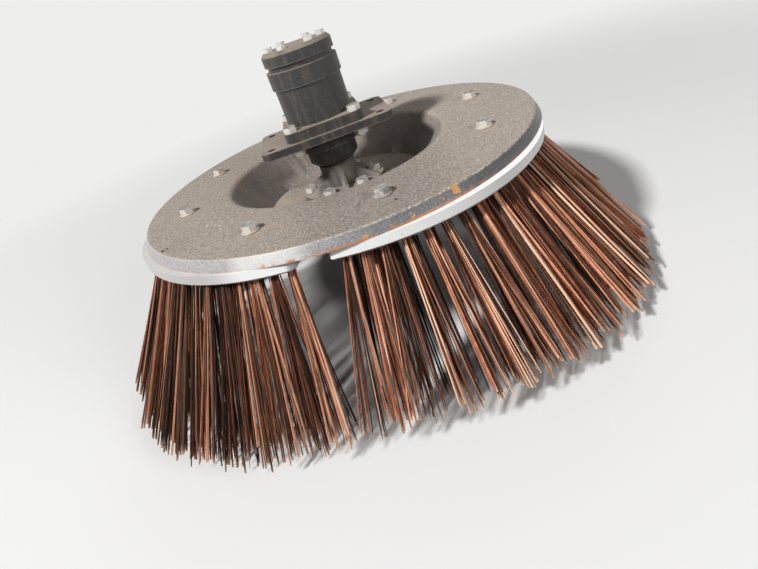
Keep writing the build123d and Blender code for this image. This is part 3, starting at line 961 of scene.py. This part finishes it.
class GUTTERBROOM_OT_finishes(bpy.types.Operator):
    """Give every node of the model the finish of its slot"""
    bl_idname = "gutterbroom.finishes"
    bl_label = "Finishes"

    def execute(self, context):
        for node_name, slot_name in SLOT_OF_NODE.items():
            for place in frame["nodes"][node_name].material_slots:
                place.material = finish(slot_name)
        return {"FINISHED"}


class GUTTERBROOM_OT_wires(bpy.types.Operator):
    """Bunches of flat steel wires, one piece for each segment"""
    bl_idname = "gutterbroom.wires"
    bl_label = "Wires"

    def execute(self, context):
        for number in SEGMENTS:
            mesh = wire_mesh(number, context.scene.broom_sizes)
            new_piece(f"wires_segment_{number}", mesh, f"segment_wires_{number}")
        return {"FINISHED"}


# Rounding of edges: of pressed and cut sheet, of castings and mouldings, of the hub and of fasteners
SHEET_EDGE = 0.0009
CAST_EDGE = 0.0014
HUB_EDGE = 0.0012
FASTENER_EDGE = 0.00035
# Turns sharper than this are a fastener's edges, in degrees
FASTENER_SHARP = 38.0


class GUTTERBROOM_OT_pressings(bpy.types.Operator):
    """The disc, hub, blocks, plate and motor with rounded edges"""
    bl_idname = "gutterbroom.pressings"
    bl_label = "Disc, hub, blocks, plate and motor"

    def execute(self, context):
        # Node, piece, rounding of its edges
        for node_name, piece_name, bevel in (
            ("mounting_plate", "plate_finished", SHEET_EDGE),
            ("motor_housing", "motor_finished", CAST_EDGE),
            ("port_block", "port_block_finished", CAST_EDGE),
            ("drive_hub", "hub_finished", HUB_EDGE),
            ("broom_disc", "disc_finished", SHEET_EDGE),
        ):
            softened(node_name, piece_name, bevel)
        for number in SEGMENTS:
            softened(f"segment_block_{number}", f"block_finished_{number}", CAST_EDGE)
        return {"FINISHED"}


# Height of the main bolts' heads and of the cover bolts', radius of a washer, play round a thread
MAIN_HEAD = 0.009
COVER_HEAD = 0.006
WASHER_RADIUS = 0.013
THREAD_PLAY = 0.0002
# A stub shorter than this isn't drawn
SHORTEST_THREAD = 0.001


def fastener_piece(node_name, build, bevel=FASTENER_EDGE, sharp=FASTENER_SHARP):
    """A node's fasteners as one zinc piece: build makes one of them at a place in plan."""
    places, low, high = solid_places(node_name)
    maker = bmesh.new()
    for across, along in places:
        build(maker, Vector((across, along, 0)), low, high)
    name = f"{node_name}_finished"
    new_piece(name, mesh_from(name, maker, bevel, sharp), node_name)


class GUTTERBROOM_OT_fasteners(bpy.types.Operator):
    """Hex bolts, nuts and washers with chamfers and thread ends"""
    bl_idname = "gutterbroom.fasteners"
    bl_label = "Fasteners"

    def execute(self, context):
        sizes = context.scene.fastener_sizes
        flats = sizes.across_flats
        thread_radius = sizes.bolt_diameter / 2
        bore = thread_radius + THREAD_PLAY

        def bolt_maker(node_name, across_flats, head_height):
            source = random.Random(node_name)

            def bolt(maker, place, low, high):
                turn = HEAD_TURN + source.uniform(-HEAD_TURN_SPREAD, HEAD_TURN_SPREAD)
                under_head = high - head_height
                bolt_head(maker, place + Vector((0, 0, under_head)), across_flats, head_height, turn)
                if under_head - low > SHORTEST_THREAD:
                    thread_end(maker, place, thread_radius, under_head, low)
            return bolt

        def nut(maker, place, low, high):
            hex_nut(maker, place + Vector((0, 0, high)), flats, bore, high - low)

        def flat_washer(maker, place, low, high):
            washer(maker, place + Vector((0, 0, low)), WASHER_RADIUS, bore, high - low)

        for node_name in ("segment_bolts", "hub_bolts", "motor_bolts"):
            fastener_piece(node_name, bolt_maker(node_name, flats, MAIN_HEAD))
        cover_bolt = bolt_maker("cover_bolts", sizes.cover_across_flats, COVER_HEAD)
        fastener_piece("cover_bolts", cover_bolt)
        for node_name in ("segment_nuts", "hub_nuts", "motor_nuts"):
            fastener_piece(node_name, nut)
        fastener_piece("segment_washers", flat_washer, bevel=0.0, sharp=30.0)
        return {"FINISHED"}


# The photo's view: place of the camera in disc radii from the disc's middle, and its own directions
CAMERA_PLACE = Vector((-0.0134, -2.7004, 0.7308))
CAMERA_RIGHT = Vector((0.93954, -0.17052, -0.29695))
CAMERA_UP = Vector((0.34243, 0.46787, 0.81476))
CAMERA_LENS = 24.98
SENSOR_WIDTH = 36.0
# From the broom toward the key light, and the point that every light is aimed at
KEY_DIRECTION = Vector((-0.617, -0.433, 0.657))
KEY_DISTANCE = 8.0
LIT_POINT = (0, 0, -0.15)
# Light, place, diameter, share of the key light's power
LIGHTS = (
    ("key_light", KEY_DIRECTION.normalized() * KEY_DISTANCE, 0.85, 1.0),
    ("side_light", (2.2, -2.4, 1.3), 1.4, 0.055),
    ("back_light", (0.6, 2.6, 2.2), 2.0, 0.016),
)
FLOOR_SIZE = 30.0
# What the floor keeps of its colour for the light that it throws back on the broom
FLOOR_BOUNCE = 0.07
# The floor turns into the even backdrop between these distances from the broom's axis
BACKDROP_FROM = 0.9
BACKDROP_FULL = 2.6
BACKDROP_COLOUR = srgb(238, 238, 237)


def aim(position, target):
    """A rotation that looks from position to target."""
    return (Vector(target) - Vector(position)).to_track_quat("-Z", "Y").to_matrix().to_4x4()


def tinted(colour, share):
    """A share of a colour, opaque."""
    return tuple(value * share for value in colour[:3]) + (1.0,)


def backdrop_material(colour):
    """A matt floor near the broom that runs out into an even pale backdrop."""
    sheet = NodeSheet("studio_floor")
    place = sheet.place()
    tone = sheet.noise(place, 1.5, detail=2.0)
    paper = sheet.mix(tone, colour, tinted(colour, 0.98))
    seen = sheet.seen()
    sheet.shade(Base_Color=sheet.mix(seen, tinted(colour, FLOOR_BOUNCE), paper), Roughness=0.9)
    glow = sheet.add("ShaderNodeEmission", {"Color": BACKDROP_COLOUR, "Strength": 1.0})
    far = sheet.steps(sheet.radius(place), BACKDROP_FROM, BACKDROP_FULL)
    sheet.spread(sheet.both(far, seen), glow, "Material Output")
    return sheet.owner


def studio_world(strength):
    """Even light, which the camera, reflections and glass see as the backdrop's own colour."""
    sheet = NodeSheet("studio_world", "worlds", "Background")
    sheet.shade(Color=(1.0, 1.0, 1.0, 1.0), Strength=strength)
    backdrop = sheet.add("ShaderNodeBackground", {"Color": BACKDROP_COLOUR})
    sheet.spread(sheet.seen(), backdrop, "World Output")
    return sheet.owner


class GUTTERBROOM_OT_studio(bpy.types.Operator):
    """Floor, lights, world and the camera at the photo's angle"""
    bl_idname = "gutterbroom.studio"
    bl_label = "Studio"

    def execute(self, context):
        sizes = context.scene.studio_sizes
        maker = bmesh.new()
        bmesh.ops.create_grid(maker, x_segments=1, y_segments=1, size=FLOOR_SIZE)
        floor_mesh = mesh_from("studio_floor", maker)
        floor = in_scene("studio_floor", floor_mesh)
        floor.location.z = CAD_LOW.z
        floor_mesh.materials.append(backdrop_material(tuple(sizes.floor_colour)))

        for name, position, size, share in LIGHTS:
            light = bpy.data.lights.new(name, "AREA")
            light.shape = "DISK"
            light.size = size
            light.energy = sizes.key_power * share
            lamp = in_scene(name, light)
            lamp.matrix_world = Matrix.Translation(position) @ aim(position, LIT_POINT)
        context.scene.world = studio_world(sizes.world_strength)

        camera = bpy.data.cameras.new("photo_camera")
        camera.sensor_fit = "HORIZONTAL"
        camera.sensor_width = SENSOR_WIDTH
        camera.lens = CAMERA_LENS
        camera.clip_start = 0.01
        viewer = in_scene("photo_camera", camera)
        right = CAMERA_RIGHT.normalized()
        back = right.cross(CAMERA_UP).normalized()
        up = back.cross(right).normalized()
        turn = Matrix((right, up, back)).transposed().to_4x4()
        middle = Vector((0, 0, DISC_TOP)) + CAMERA_PLACE * DISC_RADIUS
        viewer.matrix_world = Matrix.Translation(middle) @ turn
        context.scene.camera = viewer
        context.scene.view_settings.view_transform = "Standard"
        return {"FINISHED"}


class GUTTERBROOM_PT_panel(bpy.types.Panel):
    """Buttons and sizes of the gutter broom"""
    bl_idname = "GUTTERBROOM_PT_panel"
    bl_label = "Gutter broom"
    bl_space_type = "VIEW_3D"
    bl_region_type = "UI"
    bl_category = "Gutter broom"

    def draw(self, context):
        layout = self.layout
        for group_name in SIZE_GROUPS:
            group = getattr(context.scene, group_name)
            for key in group.__annotations__:
                layout.prop(group, key)
        for operator in OPERATORS:
            layout.operator(operator.bl_idname)


OPERATORS = (
    GUTTERBROOM_OT_finishes,
    GUTTERBROOM_OT_wires,
    GUTTERBROOM_OT_pressings,
    GUTTERBROOM_OT_fasteners,
    GUTTERBROOM_OT_studio,
)
CLASSES = (*SIZE_GROUPS.values(), *OPERATORS, GUTTERBROOM_PT_panel)


def register():
    for item in CLASSES:
        bpy.utils.register_class(item)
    for group_name, group in SIZE_GROUPS.items():
        setattr(bpy.types.Scene, group_name, PointerProperty(type=group))


def unregister():
    for group_name in SIZE_GROUPS:
        delattr(bpy.types.Scene, group_name)
    for item in reversed(CLASSES):
        bpy.utils.unregister_class(item)


def main():
    """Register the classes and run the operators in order."""
    register()
    for operator in OPERATORS:
        group, name = operator.bl_idname.split(".")
        getattr(getattr(bpy.ops, group), name)()


if __name__ == "__main__":
    main()
